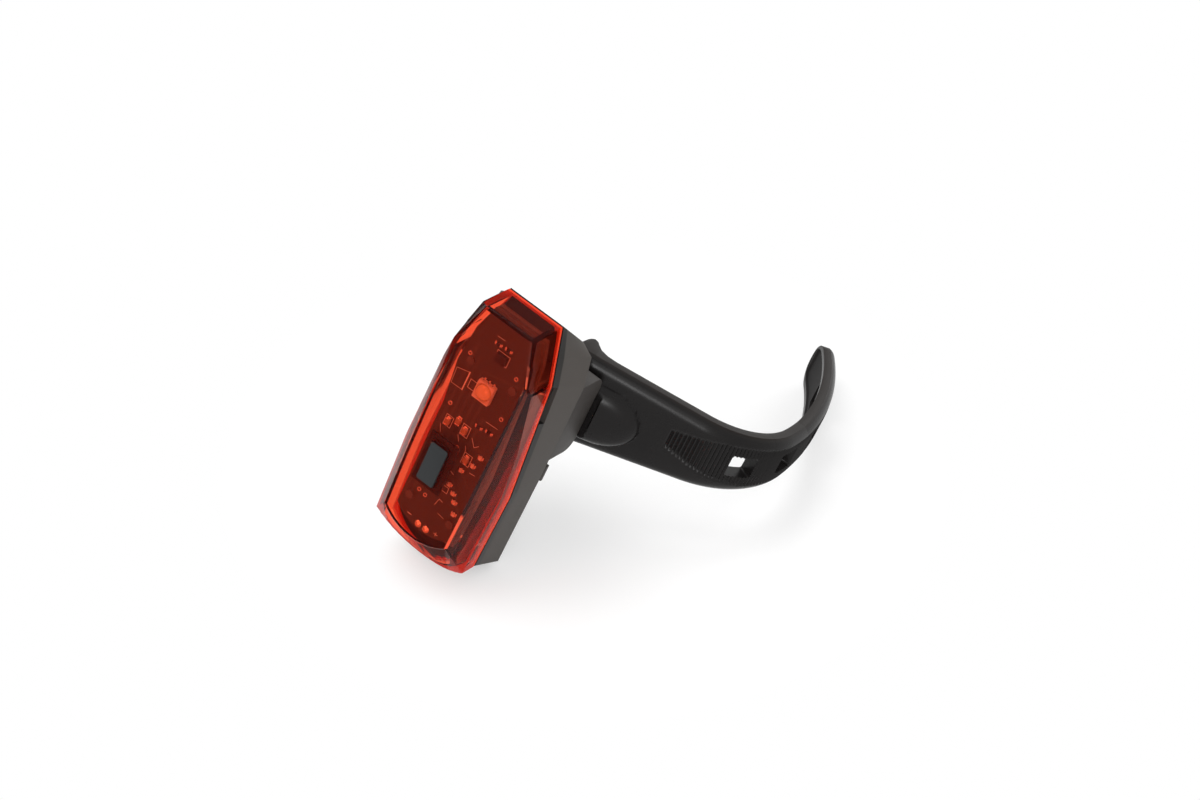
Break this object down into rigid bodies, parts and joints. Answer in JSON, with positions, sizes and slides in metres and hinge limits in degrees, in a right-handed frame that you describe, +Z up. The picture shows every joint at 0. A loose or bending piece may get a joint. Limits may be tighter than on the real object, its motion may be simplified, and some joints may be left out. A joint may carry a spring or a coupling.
{
  "type": "bicycle tail light",
  "caption": "Clip-on rear bicycle light: faceted red lens on a slim housing, with a rubber strap that ties its bracket round a seat post.",
  "frame": {"origin": "on the seat post's axis, level with the middle of the strap", "axes": "+Z up the seat post and the lamp, -Y out through the lens, +X to the side that the strap leaves from"},
  "size_m": [0.0734, 0.1147, 0.0706],
  "materials": {
    "red_lens": "clear, glossy",
    "dark_housing": "fine matt",
    "button_plastic": "satin",
    "strap_rubber": "satin",
    "board": "solder mask",
    "led_plastic": "moulded",
    "led_epoxy": "clear, glossy",
    "chip_black": "moulded",
    "chip_ceramic": "fired",
    "carrier_plastic": "moulded",
    "cell_wrap": "printed sleeve without print",
    "spring_steel": "nickel plated",
    "solder": "bright"
  },
  "bodies": {
    "mount": {"strap_saddle": "strap_rubber", "bracket_plate": "dark_housing", "bracket_screw": "spring_steel", "clamp_plate": "spring_steel", "strap_hook": "dark_housing", "latch_pin": "spring_steel"},
    "lamp": {"rear_housing": "dark_housing", "slide_rail": "dark_housing", "housing_seal": "strap_rubber"},
    "front_unit": {"lens_cover": "red_lens", "button_boot": "strap_rubber", "tact_switch": "chip_black", "circuit_board": "board", "battery_carrier": "carrier_plastic", "battery_cell_left": "cell_wrap", "battery_cell_right": "cell_wrap", "contact_spring_left": "spring_steel", "contact_spring_right": "spring_steel", "contact_bridge": "spring_steel", "negative_contact": "spring_steel", "positive_contact": "spring_steel", "solder_joints": "solder", "main_led": "led_plastic", "led_dome": "led_epoxy", "chip_resistors": "chip_black", "chip_capacitors": "chip_ceramic", "chip_diodes": "led_plastic", "controller_chip": "chip_black"},
    "button": {"push_button": "button_plastic", "switch_plunger": "button_plastic"},
    "latch": {"release_latch": "dark_housing"},
    "strap_bend": {"strap_mid": "strap_rubber"},
    "strap_end": {"strap_tail": "strap_rubber"}
  },
  "joints": [
    {"name": "lamp_slide", "type": "slide", "parent": "mount", "child": "lamp", "axis": [0, 0, 1], "range_m": [0, 0.02]},
    {"name": "case_open", "type": "slide", "parent": "lamp", "child": "front_unit", "axis": [0, -1, 0], "range_m": [0, 0.025]},
    {"name": "button_press", "type": "slide", "parent": "front_unit", "child": "button", "axis": [0, 1, 0], "range_m": [0, 0.0003], "stiffness_N_per_m": 800},
    {"name": "latch_press", "type": "hinge", "parent": "mount", "child": "latch", "pos_m": [0, -0.02304, -0.0089], "axis": [1, 0, 0], "range_deg": [0, 8], "stiffness_Nm_per_rad": 0.05},
    {"name": "strap_wrap", "type": "hinge", "parent": "mount", "child": "strap_bend", "pos_m": [0.02768, -0.00817, 0], "axis": [0, 0, 1], "range_deg": [0, 40], "stiffness_Nm_per_rad": 0.02},
    {"name": "strap_end_wrap", "type": "hinge", "parent": "strap_bend", "child": "strap_end", "pos_m": [0.04719, 0.02252, 0], "axis": [0, 0, 1], "range_deg": [0, 50], "stiffness_Nm_per_rad": 0.02}
  ]
}
